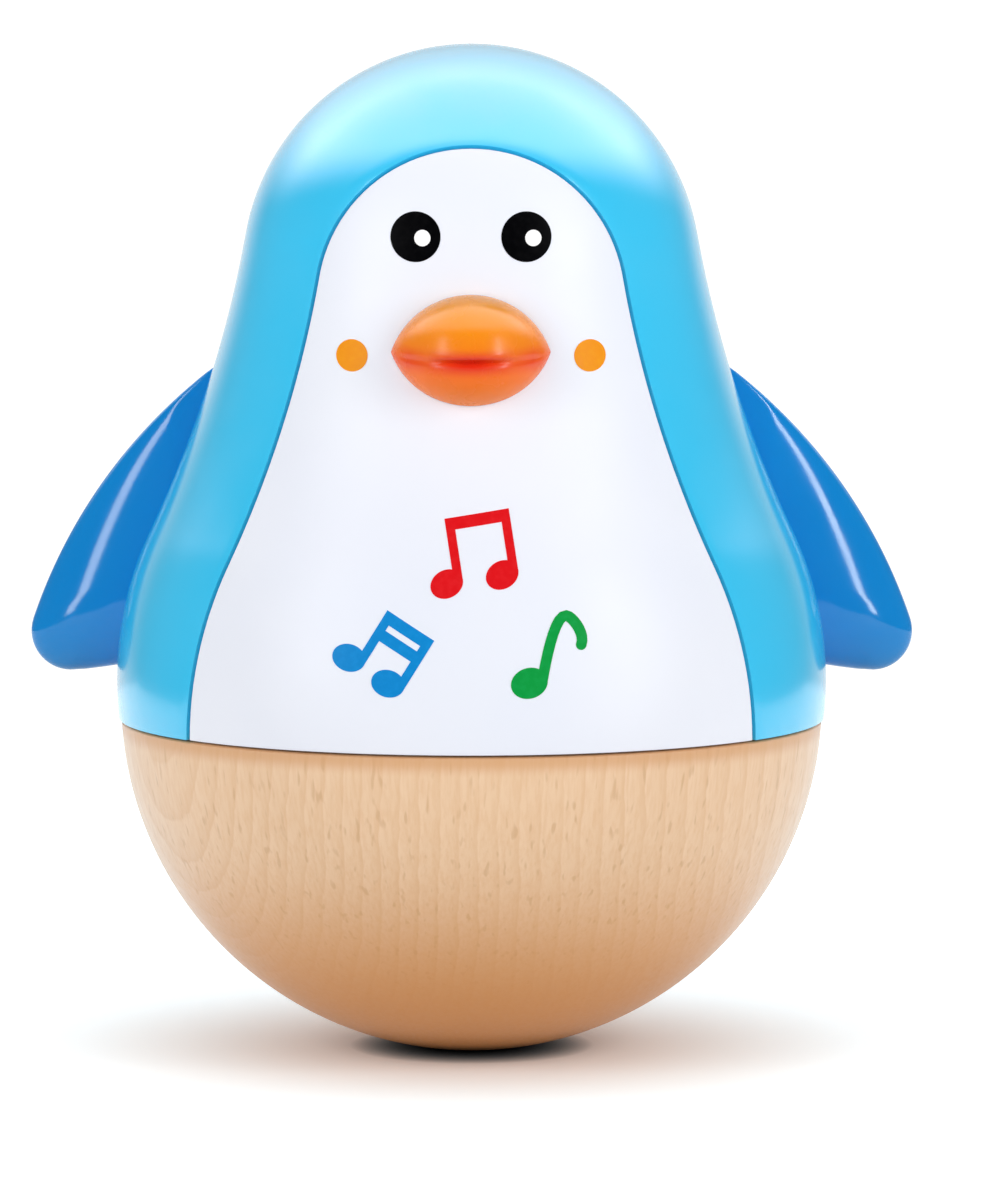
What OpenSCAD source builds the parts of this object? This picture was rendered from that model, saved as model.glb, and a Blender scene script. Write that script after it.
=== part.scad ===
// Penguin roly poly: a weighted wooden bowl under a hollow plastic body that holds a chime.
// The origin is the middle of the bowl's small foot on the floor, and the face looks along -Y.

/* [Body] */
// Height from the floor to the crown
toy_h = 127.5; // [122:0.5:134]
// Distance that the plastic belly stands proud of the wooden ball
belly_proud = 0.5; // [0:0.1:1.5]
// Height of the belly's widest ring above the middle of the ball
belly_rise = 2.7; // [1:0.1:5]
// Radius of the belly's upright curve
belly_r = 44; // [41:0.5:46]
// Radius of the crown's dome
dome_r = 29; // [27.5:0.5:30.5]
// Radius of the hollow curve between crown and belly
neck_r = 150; // [120:5:200]
// Wall of the hood and of the front panel
shell_t = 2.2; // [1.8:0.1:2.6]

/* [Front panel] */
// Height of hood left above the panel
crown_h = 12.5; // [10:0.5:16]
// Width of hood left beside the panel's rounded top
brow_w = 10; // [8:0.5:12]
// Radius of the hollow curves at its waist
panel_neck_r = 140; // [110:5:180]
// Radius of the full curves beside the belly
panel_belly_r = 52; // [46:1:60]
// Width of hood left beside the panel's foot, seen from the front
side_w = 10.3; // [8:0.1:13]
// Parting line between panel and hood
panel_gap = 0.3; // [0.2:0.05:0.5]
// Reach of the lip behind the hood's edge
lip_w = 3; // [2:0.25:4]
// Thickness of the lip
lip_t = 1.3; // [1:0.1:1.8]

/* [Wooden base] */
// Radius of the ball that the bowl is turned from
base_r = 44.5; // [43.5:0.25:46]
// Radius of the small flat turned on its foot
foot_r = 4; // [3:0.25:6]
// Drop of the joint between wood and plastic below the middle of the ball
seam_drop = 2.3; // [1.5:0.1:5]
// Hairline left open at that joint
seam_gap = 0.25; // [0.15:0.05:0.5]
// Wood left outside the collar's rebate
rim_wall = 4; // [3.5:0.1:4.5]
// Depth of that rebate
rebate_h = 6; // [4.5:0.25:7]
// Wood left outside the floor of the hollow
hollow_wall = 4.9; // [4:0.1:7]
// Depth of the hollow under the rebate
hollow_h = 9; // [6:0.5:10]

/* [Ballast] */
// Radius of the ballast's upper disc
ballast_r = 25; // [22:0.5:26]
// Thickness of that disc
ballast_h = 13; // [10:0.5:15]
// Radius of the step under it
ballast_step_r = 17; // [14:0.5:18]
// Height of that step
ballast_step_h = 5; // [3:0.5:6]
// Height of the step's seat above the floor
ballast_z = 8; // [7:0.25:9]
// Radius of the circle of its screws
ballast_ring_r = 9; // [8:0.5:10]

/* [Chassis] */
// Thickness of the chassis plate
plate_t = 2.4; // [2:0.1:3.2]
// Wall of its collar
collar_t = 2.3; // [2:0.1:2.6]
// Room between the collar and the heads of the screws inside it
head_room = 1.2; // [0.6:0.1:2]
// Radius of a pillar
pillar_r = 3.2; // [2.8:0.1:3.6]
// Thickness of the rib behind a pillar
rib_t = 1.6; // [1.2:0.1:2.2]
// Turn from the front to the panel's pillars
panel_pillar_a = 28; // [24:1:32]
// Gap between a flipper's pad and the pillar behind it
pad_gap = 0.9; // [0.5:0.1:2]

/* [Flippers] */
// Reach of a flipper outside the widest ring
flipper_reach = 11.5; // [9:0.5:14]
// Radius of its outer edge, seen from the front
edge_r = 69; // [62:0.5:76]
// Drop of that edge's centre below the widest ring
edge_drop = 15.5; // [12:0.5:18]
// Turn along the edge up to the tip
tip_a = 53; // [50:1:56]
// Rounding of the tip
tip_r = 1.2; // [1:0.1:2]
// Height of the flipper's lower edge above the widest ring
flipper_rise = 0.3; // [0:0.1:2]
// Rounding of the lower outer corner
corner_r = 5; // [4:0.25:5.5]
// Half of the thickness at the root
root_r = 5.4; // [5:0.1:6.5]
// Distance that the flippers sit behind the middle plane
flipper_y = 6; // [4:0.5:8]
// Distance that their outer corner sits behind the root
corner_y = 2; // [0:0.5:3]
// Height of the lower peg above the widest ring
low_peg_rise = 11; // [9:0.5:12]
// Height of the upper peg above the widest ring
high_peg_rise = 22; // [20:0.5:24]
// Radius of a peg
peg_r = 2.6; // [2.3:0.1:3]

/* [Beak] */
// Width of the beak
beak_w = 19.6; // [17:0.2:22]
// Height of the beak
beak_h = 14; // [12:0.2:16]
// Drop of its middle below the crown
beak_drop = 37.2; // [35:0.1:39]
// Depth of the beak over its half height
beak_deep_share = 1.25; // [1:0.05:1.4]
// Height of the mouth crease
mouth_h = 0.6; // [0.4:0.1:1]
// Depth of the mouth crease
mouth_deep = 0.7; // [0.4:0.1:1]
// Drop of the mouth below the beak's middle
mouth_drop = 0.6; // [0:0.1:1.2]
// Radius of the post behind the beak
post_r = 3; // [2.6:0.1:3.4]

/* [Chime] */
// Outer radius of the cast ring
block_r = 18; // [17:0.25:19]
// Radius of the hole in it
block_hole_r = 10; // [8:0.5:11]
// Height of the ring
block_h = 6; // [5.5:0.25:8]
// Radius of the circle of rods
rod_ring_r = 14; // [13.5:0.1:15]
// Radius of a rod
rod_r = 1.25; // [1:0.05:1.4]
// Room between the longest rod and the top of the gantry
rod_room = 15.6; // [14:0.2:18]
// Depth of a rod's socket
socket_h = 5; // [3.5:0.25:5]

/* [Striker] */
// Room between the cast ring and a leg of the gantry
leg_gap = 1.5; // [1:0.25:2]
// Drop of the gantry's top below the crown
gantry_drop = 21.5; // [20:0.5:24]
// Thickness of the gantry's strip
strip_t = 1.5; // [1.2:0.1:1.8]
// Width of the strip
strip_w = 8; // [6:0.5:9]
// Length of a foot
foot_l = 8; // [7.5:0.25:8.5]
// Drop of the hanger pin below the crossbar
pin_drop = 3.6; // [3.2:0.1:4.5]
// Radius of the pins
pin_r = 1; // [0.8:0.05:1.2]
// Radius of the eyes round the pins
eye_r = 2.4; // [2.1:0.1:2.6]
// Thickness of an eye
eye_t = 2.4; // [2:0.1:3]
// Length of the hanger link between its eyes
link_l = 7; // [6.5:0.25:8]
// Drop of the head's middle below the top of the shortest rod
strike_drop = 8; // [7:0.25:10]
// Radius of the stem
stem_r = 0.9; // [0.7:0.05:1.1]
// Radius of the striker's head
head_r = 6; // [5.5:0.1:6]

/* [Screws] */
// Radius of a screw's shank
screw_r = 1.4; // [1.2:0.05:1.5]
// Radius of a screw's head
screw_head_r = 2.8; // [2.5:0.1:3]
// Height of a screw's head
screw_head_h = 2; // [1.6:0.1:2.4]
// Radius of the broad heads that clamp the fins and the beak
broad_head_r = 4; // [3.6:0.1:4.4]
// Length of a screw inside the piece that it holds
bite_l = 10; // [8:0.5:11]
// Length of a screw inside the floor of the bowl
floor_bite_l = 4.5; // [4:0.25:5]
// Length of a screw inside the cast ring
block_bite_l = 4; // [3:0.25:4.5]

/* [Hidden] */
$fn = 96;
hull_fn = 32;
arc_steps = 12;

// Overrun of a cut past the face that it opens
overrun = 1;
// Gap round a piece that is glued or drops in
fit_gap = 0.1;
// Gap round a pin in the piece that turns on it
run_gap = 0.05;
// Gap round a pin that is driven in
drive_gap = 0.02;
// Gap between faces that swing past each other
swing_gap = 0.35;
// Gap round a piece that must stay free
free_gap = 0.3;
// Thread room round a screw
thread_gap = 0.05;
// Room round a screw that passes through
pass_gap = 0.25;
// Room past the end of a screw
tip_gap = 0.8;

// Cross recess in a screw's head
recess_w = 0.7;
recess_l = 3.2;
recess_h = 1.1;

// Pads inside the shells, under the broad heads
pad_h = 2.8;
pad_r = broad_head_r + free_gap;
// Room that a clamped post keeps to the head that pulls on it
pull_gap = 0.3;
// Reach of a flipper's peg into the fin
peg_grip = 3;
// Bosses under the chassis plate
boss_r = screw_r + pillar_r / 2;
boss_h = rebate_h;
boss_floor = 1;
// Thickness of the rivet heads on the pins
rivet_h = 0.6;
rivet_r = pin_r + rivet_h;
// Strip ends that hang from the crossbar
lug_t = 1.5;
// Ears and bridge of the striker's fork
ear_t = 1.2;
bridge_h = 1.4;
// Button under the striker's head
button_h = 1;
button_r = stem_r + bridge_h / 2;
// Neck of the hanger link
neck_wire_r = 1.1;
// Size of a fin's round ends between corner and tip
edge_steps = 5;
// Where the fin's hidden inner end lies, over the body's radius there
inner_share = 0.85;

// Equal-tempered steps of a major scale above its first note
scale_steps = [0, 2, 4, 5, 7, 9, 11, 12];
octave_steps = 12;
rod_n = len(scale_steps);

// Heights and widest radius that the body takes from the ball
ball_z = sqrt(base_r ^ 2 - foot_r ^ 2);
seam_z = ball_z - seam_drop;
belly_z = ball_z + belly_rise;
body_r = base_r + belly_proud;

// Sides of an ogee: dome radius, dome height, neck radius, belly radius, belly centre, belly height
body_o = [dome_r, toy_h - dome_r, neck_r, belly_r, body_r - belly_r, belly_z];
panel_dome_r = dome_r - brow_w;
panel_o = [
    panel_dome_r, toy_h - crown_h - panel_dome_r, panel_neck_r,
    panel_belly_r, body_r - side_w - panel_belly_r, seam_z
];

function unit(v) = v / norm(v);
function dome_centre(o) = [0, o[1]];
function belly_centre(o) = [o[4], o[5]];

// The same ogee, moved outward by g along its normals
function grown(o, g) = [o[0] + g, o[1], o[2] - g, o[3] + g, o[4], o[5]];

// Centre of the hollow arc that touches the dome and the belly
function neck_centre(o) =
    let(
        down = belly_centre(o) - dome_centre(o),
        along = unit(down),
        to_dome = o[0] + o[2],
        to_belly = o[3] + o[2],
        run = (to_dome ^ 2 - to_belly ^ 2 + norm(down) ^ 2) / (2 * norm(down)),
        out = sqrt(to_dome ^ 2 - run ^ 2)
    )
    dome_centre(o) + run * along + out * [-along.y, along.x];

function dome_join(o) = dome_centre(o) + o[0] * unit(neck_centre(o) - dome_centre(o));
function belly_join(o) = belly_centre(o) + o[3] * unit(neck_centre(o) - belly_centre(o));

// Points along an arc, after its first one
function arc_points(c, r, from, to) =
    [for (i = [1 : arc_steps]) let(a = from + (to - from) * i / arc_steps) c + r * [cos(a), sin(a)]];

// Turn from c to p, counted from +X, and the same turn counted without a negative
function turn_to(c, p) = atan2(p.y - c.y, p.x - c.x);
function whole_turn(c, p) = (turn_to(c, p) + 360) % 360;

// An ogee's top, and the points along its side from there down to height low
function ogee_top(o) = dome_centre(o) + [0, o[0]];
function ogee_side(o, low) =
    let(
        dome = dome_centre(o),
        neck = neck_centre(o),
        belly = belly_centre(o),
        high = dome_join(o),
        wide = belly_join(o)
    )
    concat(
        arc_points(dome, o[0], 90, turn_to(dome, high)),
        arc_points(neck, o[2], whole_turn(neck, high), whole_turn(neck, wide)),
        arc_points(belly, o[3], turn_to(belly, wide), asin((low - belly.y) / o[3]))
    );

// Distance of an ogee's side from its axis at height z
function side(o, z) =
    z > dome_join(o).y ? sqrt(o[0] ^ 2 - (z - o[1]) ^ 2) :
    z > belly_join(o).y ? neck_centre(o).x - sqrt(o[2] ^ 2 - (z - neck_centre(o).y) ^ 2) :
    o[4] + sqrt(o[3] ^ 2 - (z - o[5]) ^ 2);

// Distance of the ball's side from its axis at height z
function ball_side(z) = sqrt(base_r ^ 2 - (z - ball_z) ^ 2);

// Body of the toy
shell_z = seam_z + seam_gap;
inner_o = grown(body_o, -shell_t);
rebate_r = ball_side(seam_z) - rim_wall;
hollow_z = seam_z - rebate_h - hollow_h;
hollow_r = ball_side(hollow_z) - hollow_wall;
collar_r = rebate_r - fit_gap;
pillar_ring_r = collar_r - collar_t - head_room - screw_head_r;
plate_top = seam_z + plate_t;
plate_r = side(inner_o, shell_z) - free_gap;

// Ballast
ballast_seat_z = ballast_z + ballast_step_h;
ballast_top = ballast_seat_z + ballast_h;
ballast_turns = [0, 120, 240];

// Pillars, as turns from the front
panel_turns = [-panel_pillar_a, panel_pillar_a];
side_turn = 90 + asin((flipper_y + pad_r + pillar_r + pad_gap) / pillar_ring_r);
hood_turns = [-side_turn, side_turn, 180];
pilot_r = screw_r + thread_gap;
pass_r = screw_r + pass_gap;
chassis_screw_l = plate_t + bite_l;

// Flippers
flipper_z = belly_z + flipper_rise;
corner_z = flipper_z + corner_r;
edge_z = belly_z - edge_drop;
corner_a = asin((corner_z - edge_z) / (edge_r - corner_r));
corner_x = body_r + flipper_reach - corner_r;
edge_x = corner_x - (edge_r - corner_r) * cos(corner_a);
root_x = inner_share * side(body_o, flipper_z + root_r);
peg_heights = [belly_z + low_peg_rise, belly_z + high_peg_rise];

// Beak
beak_z = toy_h - beak_drop;
beak_arc_r = (beak_w ^ 2 + beak_h ^ 2) / (4 * beak_h);
beak_y = sqrt(side(body_o, beak_z) ^ 2 - (beak_w / 2) ^ 2);
beak_pad_y = side(inner_o, beak_z) - pad_h;

// Chime, with the rods under the gantry
gantry_top = toy_h - gantry_drop;
block_top = plate_top + block_h;
rod_l = gantry_top - rod_room - block_top;
block_turns = [0, 90, 180, 270];
rod_pitch_a = 360 / rod_n;

// Ringing length of rod i, shorter for a higher note: pitch goes as one over length squared
function ringing(i) = rod_l * 2 ^ (-scale_steps[i - 1] / (2 * octave_steps));

// Striker
leg_x = block_r + leg_gap;
foot_x = leg_x + strip_t + foot_l / 2;
foot_turns = [-90, 90];
hanger_z = gantry_top - strip_t - pin_drop;
striker_z = hanger_z - link_l;
head_z = block_top + ringing(rod_n) - strike_drop;
lug_x = eye_t / 2 + swing_gap;
bridge_z = striker_z - eye_r - swing_gap - bridge_h;

// Right half of an ogee from height low up to its top
module ogee_half(o, low) {
    polygon(concat([[0, low], ogee_top(o)], ogee_side(o, low)));
}

// Wall of the body between two depths under its outer surface
module body_wall(outer, inner, low) {
    rotate_extrude() difference() {
        ogee_half(grown(body_o, -outer), low);
        ogee_half(grown(body_o, -inner), low - overrun);
    }
}

// Whole space of the body, down to a depth under its outer surface
module body_space(depth, low) {
    rotate_extrude() ogee_half(grown(body_o, -depth), low);
}

// Front view of the panel, grown by g, swept from the middle plane past the front
module panel_prism(g) {
    o = grown(panel_o, g);
    right = ogee_side(o, seam_z - overrun);
    left = [for (i = [len(right) - 1 : -1 : 0]) [-right[i].x, right[i].y]];
    rotate([90, 0, 0]) linear_extrude(body_r + overrun)
        polygon(concat([ogee_top(o)], right, left));
}

// Places what follows at each turn from the front, on a circle at height z
module on_ring(turns, r, z) {
    for (turn = turns) rotate(turn) translate([0, -r, z]) children();
}

// Places what follows at each peg of a flipper, pointing outward, at a depth under the body's surface
module on_pegs(depth) {
    for (z = peg_heights)
        translate([side(body_o, z) - depth, flipper_y, z]) rotate([0, 90, 0]) children();
}

// Screw along +Z, with the underside of its head at the origin
module screw(shank_l, r = screw_head_r) {
    difference() {
        union() {
            cylinder(h = shank_l, r = screw_r);
            translate([0, 0, -screw_head_h]) cylinder(h = screw_head_h, r = r);
        }
        for (turn = [0, 90]) rotate(turn)
            translate([-recess_l / 2, -recess_w / 2, -screw_head_h - overrun])
                cube([recess_l, recess_w, recess_h + overrun]);
    }
}

// Pillars inside a shell, with a rib to the wall behind each
module pillars(turns) {
    intersection() {
        body_space(shell_t / 2, seam_z);
        union() {
            on_ring(turns, pillar_ring_r, plate_top) cylinder(h = toy_h - plate_top, r = pillar_r);
            on_ring(turns, body_r, plate_top) translate([-rib_t / 2, 0, 0])
                cube([rib_t, body_r - pillar_ring_r, toy_h - plate_top]);
        }
    }
}

module pillar_pilots(turns) {
    on_ring(turns, pillar_ring_r, plate_top - overrun)
        cylinder(h = bite_l + tip_gap + overrun, r = pilot_r);
}

// Bowl turned from a ball, with a small flat foot and steps for the weight, the hollow and the collar
module wooden_base() {
    color("burlywood") difference() {
        rotate_extrude() difference() {
            intersection() {
                translate([0, ball_z]) circle(base_r);
                square([base_r, seam_z]);
            }
            translate([0, seam_z - rebate_h]) square([rebate_r, rebate_h + overrun]);
            translate([0, hollow_z]) square([hollow_r, seam_z - hollow_z]);
            translate([0, ballast_seat_z]) square([ballast_r + fit_gap, seam_z - ballast_seat_z]);
            translate([0, ballast_z]) square([ballast_step_r + fit_gap, seam_z - ballast_z]);
        }
        on_ring(ballast_turns, ballast_ring_r, ballast_z - floor_bite_l - tip_gap)
            cylinder(h = floor_bite_l + tip_gap + overrun, r = pilot_r);
    }
}

// Stepped iron disc with sunk screw holes
module ballast_weight() {
    color("dimgray") difference() {
        union() {
            translate([0, 0, ballast_z]) cylinder(h = ballast_step_h + ballast_h / 2, r = ballast_step_r);
            translate([0, 0, ballast_seat_z]) cylinder(h = ballast_h, r = ballast_r);
        }
        on_ring(ballast_turns, ballast_ring_r, ballast_z - overrun)
            cylinder(h = ballast_top - ballast_z + 2 * overrun, r = pass_r);
        on_ring(ballast_turns, ballast_ring_r, ballast_top - screw_head_h)
            cylinder(h = screw_head_h + overrun, r = screw_head_r + free_gap);
    }
}

module ballast_screws() {
    color("silver") on_ring(ballast_turns, ballast_ring_r, ballast_top - screw_head_h)
        rotate([180, 0, 0]) screw(ballast_top - screw_head_h - ballast_z + floor_bite_l);
}

// Disc on the bowl's rim, with a collar in the rebate and bosses for the gantry
module chassis_plate() {
    color("lightgray") difference() {
        union() {
            translate([0, 0, seam_z]) cylinder(h = plate_t, r = plate_r);
            difference() {
                translate([0, 0, seam_z - rebate_h + fit_gap])
                    cylinder(h = rebate_h + plate_t / 2, r = collar_r);
                translate([0, 0, seam_z - rebate_h - overrun])
                    cylinder(h = rebate_h + overrun, r = collar_r - collar_t);
            }
            on_ring(foot_turns, foot_x, seam_z - boss_h) cylinder(h = boss_h + plate_t / 2, r = boss_r);
        }
        on_ring(concat(panel_turns, hood_turns), pillar_ring_r, seam_z - overrun)
            cylinder(h = plate_t + 2 * overrun, r = pass_r);
        on_ring(block_turns, rod_ring_r, seam_z - overrun)
            cylinder(h = plate_t + 2 * overrun, r = pass_r);
        on_ring(foot_turns, foot_x, seam_z - boss_h + boss_floor)
            cylinder(h = boss_h + plate_t, r = pilot_r);
    }
}

module chassis_screws() {
    color("silver") on_ring(concat(panel_turns, hood_turns), pillar_ring_r, seam_z)
        screw(chassis_screw_l);
}

// Blue shell round the back, sides and crown, open at the front for the panel
module hood_shell() {
    color("skyblue") difference() {
        union() {
            difference() {
                body_wall(0, shell_t, shell_z);
                panel_prism(panel_gap);
            }
            pillars(hood_turns);
            intersection() {
                body_space(shell_t / 2, shell_z);
                for (flip = [0, 1]) mirror([flip, 0, 0]) on_pegs(shell_t + pad_h)
                    cylinder(h = shell_t + pad_h, r = pad_r);
            }
        }
        pillar_pilots(hood_turns);
        for (flip = [0, 1]) mirror([flip, 0, 0]) on_pegs(shell_t + pad_h + overrun)
            cylinder(h = shell_t + pad_h + 2 * overrun, r = peg_r + fit_gap);
    }
}

// White panel flush with the hood, with a lip behind the hood's edge
module front_panel() {
    lip_top = shell_t + fit_gap;
    lip_low = plate_top + free_gap;
    color("white") difference() {
        union() {
            intersection() {
                body_wall(0, shell_t, shell_z);
                panel_prism(0);
            }
            intersection() {
                body_wall(shell_t / 2, lip_top + lip_t, lip_low);
                difference() {
                    panel_prism(0);
                    panel_prism(-lip_w);
                }
            }
            intersection() {
                body_wall(lip_top, lip_top + lip_t, lip_low);
                difference() {
                    panel_prism(lip_w);
                    panel_prism(-lip_w);
                }
            }
            pillars(panel_turns);
            intersection() {
                body_space(shell_t / 2, shell_z);
                translate([0, -beak_pad_y, beak_z]) rotate([90, 0, 0])
                    cylinder(h = shell_t + pad_h, r = pad_r);
            }
        }
        pillar_pilots(panel_turns);
        translate([0, -beak_pad_y + overrun, beak_z]) rotate([90, 0, 0])
            cylinder(h = shell_t + pad_h + 2 * overrun, r = post_r + fit_gap);
    }
}

// Fin at +X, rounded over its edge and cut to the hood, with two pegs
module flipper() {
    difference() {
        union() {
            difference() {
                translate([0, flipper_y, 0]) hull() {
                    for (step = [0 : edge_steps]) {
                        up = step / edge_steps;
                        a = corner_a + (tip_a - corner_a) * up;
                        r = corner_r + (tip_r - corner_r) * up;
                        x = edge_x + (edge_r - r) * cos(a);
                        y = corner_y * max(0, (x - root_x) / (corner_x - root_x));
                        translate([x, y, edge_z + (edge_r - r) * sin(a)]) sphere(r, $fn = hull_fn);
                    }
                    translate([root_x, 0, flipper_z + root_r]) sphere(root_r, $fn = hull_fn);
                }
                body_space(-fit_gap, shell_z);
            }
            on_pegs(shell_t + pad_h - pull_gap)
                cylinder(h = shell_t + pad_h - pull_gap + peg_grip, r = peg_r);
        }
        on_pegs(shell_t + pad_h) cylinder(h = bite_l + tip_gap, r = pilot_r);
    }
}

module left_flipper() {
    color("deepskyblue") flipper();
}

module right_flipper() {
    color("deepskyblue") mirror([1, 0, 0]) flipper();
}

module flipper_screws() {
    color("silver") for (flip = [0, 1]) mirror([flip, 0, 0]) on_pegs(shell_t + pad_h)
        screw(bite_l, broad_head_r);
}

// Spindle along X, pointed at both ends, made smaller by inset
module spindle(inset) {
    rotate([0, 90, 0]) rotate_extrude() intersection() {
        translate([beak_h / 2 - beak_arc_r, 0]) circle(beak_arc_r - inset);
        translate([0, -beak_w / 2]) square([beak_h / 2, beak_w]);
    }
}

// Beak with a mouth crease, cut to the panel, with a post through it
module beak() {
    color("darkorange") difference() {
        union() {
            difference() {
                translate([0, -beak_y, beak_z]) scale([1, beak_deep_share, 1]) difference() {
                    spindle(0);
                    difference() {
                        translate([-beak_w / 2 - overrun, -beak_h, -mouth_drop - mouth_h / 2])
                            cube([beak_w + 2 * overrun, beak_h, mouth_h]);
                        spindle(mouth_deep);
                    }
                }
                body_space(-fit_gap, shell_z);
            }
            translate([0, -beak_pad_y - pull_gap, beak_z]) rotate([90, 0, 0])
                cylinder(h = shell_t + pad_h - pull_gap + peg_grip, r = post_r);
        }
        translate([0, -beak_pad_y, beak_z]) rotate([90, 0, 0])
            cylinder(h = bite_l - tip_gap, r = pilot_r);
    }
}

module beak_screw() {
    color("silver") translate([0, -beak_pad_y, beak_z]) rotate([90, 0, 0])
        screw(bite_l - 2 * tip_gap, broad_head_r);
}

// Cast ring with a socket for each rod
module chime_block() {
    color("gray") difference() {
        translate([0, 0, plate_top]) cylinder(h = block_h, r = block_r);
        translate([0, 0, plate_top - overrun]) cylinder(h = block_h + 2 * overrun, r = block_hole_r);
        for (i = [1 : rod_n]) at_rod(i) cylinder(h = socket_h + overrun, r = rod_r + drive_gap);
        on_ring(block_turns, rod_ring_r, plate_top - overrun)
            cylinder(h = block_bite_l + tip_gap + overrun, r = pilot_r);
    }
}

module chime_block_screws() {
    color("silver") on_ring(block_turns, rod_ring_r, seam_z) screw(plate_t + block_bite_l);
}

// Places what follows at the foot of rod i
module at_rod(i) {
    on_ring([(i - 1 / 2) * rod_pitch_a], rod_ring_r, block_top - socket_h) children();
}

module chime_rod(i) {
    color("gainsboro") at_rod(i) cylinder(h = socket_h + ringing(i), r = rod_r);
}

// Strip bent into an arch with feet, and two lugs for the hanger pin
module striker_gantry() {
    color("lightsteelblue") difference() {
        union() {
            translate([-leg_x - strip_t, -strip_w / 2, gantry_top - strip_t])
                cube([2 * (leg_x + strip_t), strip_w, strip_t]);
            for (flip = [0, 1]) mirror([flip, 0, 0]) {
                translate([leg_x, -strip_w / 2, plate_top]) cube([strip_t, strip_w, gantry_top - plate_top]);
                translate([leg_x, -strip_w / 2, plate_top]) cube([strip_t + foot_l, strip_w, strip_t]);
                translate([lug_x, 0, hanger_z]) rotate([0, 90, 0]) cylinder(h = lug_t, r = eye_r);
                translate([lug_x, -eye_r, hanger_z])
                    cube([lug_t, 2 * eye_r, gantry_top - strip_t / 2 - hanger_z]);
            }
        }
        translate([-leg_x, 0, hanger_z]) rotate([0, 90, 0]) cylinder(h = 2 * leg_x, r = pin_r + drive_gap);
        on_ring(foot_turns, foot_x, plate_top - overrun) cylinder(h = strip_t + 2 * overrun, r = pass_r);
    }
}

module gantry_screws() {
    color("silver") on_ring(foot_turns, foot_x, plate_top + strip_t) rotate([180, 0, 0])
        screw(strip_t + plate_t + boss_h - boss_floor - tip_gap);
}

// Pin along Z through the origin, riveted at both ends
module rivet(half_l) {
    translate([0, 0, -half_l]) cylinder(h = 2 * half_l, r = pin_r);
    for (flip = [0, 1]) mirror([0, 0, flip]) translate([0, 0, half_l]) cylinder(h = rivet_h, r = rivet_r);
}

module hanger_pin() {
    color("silver") translate([0, 0, hanger_z]) rotate([0, 90, 0]) rivet(lug_x + lug_t);
}

// Link with crossed eyes: it swings fore and aft on the hanger pin
module hanger_link() {
    color("silver") difference() {
        union() {
            translate([0, 0, hanger_z]) rotate([0, 90, 0]) cylinder(h = eye_t, r = eye_r, center = true);
            translate([0, 0, striker_z]) rotate([90, 0, 0]) cylinder(h = eye_t, r = eye_r, center = true);
            translate([0, 0, striker_z]) cylinder(h = link_l, r = neck_wire_r);
        }
        translate([0, 0, hanger_z]) rotate([0, 90, 0])
            cylinder(h = eye_t + 2 * overrun, r = pin_r + run_gap, center = true);
        translate([0, 0, striker_z]) rotate([90, 0, 0])
            cylinder(h = eye_t + 2 * overrun, r = pin_r + run_gap, center = true);
    }
}

// Fork over the link's lower eye, with the wire that carries the head
module striker_stem() {
    fork_y = lug_x + ear_t;
    color("silver") difference() {
        union() {
            for (flip = [0, 1]) mirror([0, flip, 0]) {
                translate([0, fork_y, striker_z]) rotate([90, 0, 0]) cylinder(h = ear_t, r = eye_r);
                translate([-eye_r, lug_x, bridge_z]) cube([2 * eye_r, ear_t, striker_z - bridge_z]);
            }
            translate([-eye_r, -fork_y, bridge_z]) cube([2 * eye_r, 2 * fork_y, bridge_h]);
            translate([0, 0, head_z - head_r - button_h])
                cylinder(h = bridge_z - head_z + head_r + button_h + bridge_h / 2, r = stem_r);
            translate([0, 0, head_z - head_r - button_h]) cylinder(h = button_h, r = button_r);
        }
        translate([0, 0, striker_z]) rotate([90, 0, 0])
            cylinder(h = 2 * (fork_y + overrun), r = pin_r + drive_gap, center = true);
    }
}

module striker_pin() {
    color("silver") translate([0, 0, striker_z]) rotate([90, 0, 0]) rivet(lug_x + ear_t);
}

// Bead on the stem
module striker_head() {
    color("tan") translate([0, 0, head_z]) difference() {
        sphere(head_r);
        cylinder(h = 2 * (head_r + overrun), r = stem_r + drive_gap, center = true);
    }
}

wooden_base();
ballast_weight();
ballast_screws();
chassis_plate();
chassis_screws();
hood_shell();
front_panel();
left_flipper();
right_flipper();
flipper_screws();
beak();
beak_screw();
chime_block();
chime_block_screws();
striker_gantry();
gantry_screws();
hanger_pin();
hanger_link();
striker_stem();
striker_pin();
striker_head();
for (i = [1 : rod_n]) chime_rod(i);
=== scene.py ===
"""Penguin roly poly toy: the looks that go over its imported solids."""

import functools
import logging
import math
from collections.abc import Callable, Iterable, Sequence
from dataclasses import dataclass, field, replace
from enum import Enum

import bpy
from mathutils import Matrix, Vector
from mathutils.geometry import interpolate_bezier


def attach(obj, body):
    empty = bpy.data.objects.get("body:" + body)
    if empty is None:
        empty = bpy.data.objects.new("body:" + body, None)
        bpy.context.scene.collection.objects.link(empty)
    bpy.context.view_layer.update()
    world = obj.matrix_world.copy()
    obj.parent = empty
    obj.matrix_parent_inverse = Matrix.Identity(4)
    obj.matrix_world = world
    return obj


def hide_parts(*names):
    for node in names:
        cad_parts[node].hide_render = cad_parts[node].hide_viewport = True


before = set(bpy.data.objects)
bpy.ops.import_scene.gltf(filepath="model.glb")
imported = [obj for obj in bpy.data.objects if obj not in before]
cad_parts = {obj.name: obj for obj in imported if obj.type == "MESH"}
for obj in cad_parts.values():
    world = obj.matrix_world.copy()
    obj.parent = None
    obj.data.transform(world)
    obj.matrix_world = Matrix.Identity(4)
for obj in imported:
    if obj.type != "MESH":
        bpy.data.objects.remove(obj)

MM = 0.001
PER_MM = (1 / MM, 1 / MM, 1 / MM)
# Points closer than this, in metres, are one.
WELD = 1e-7
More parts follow.
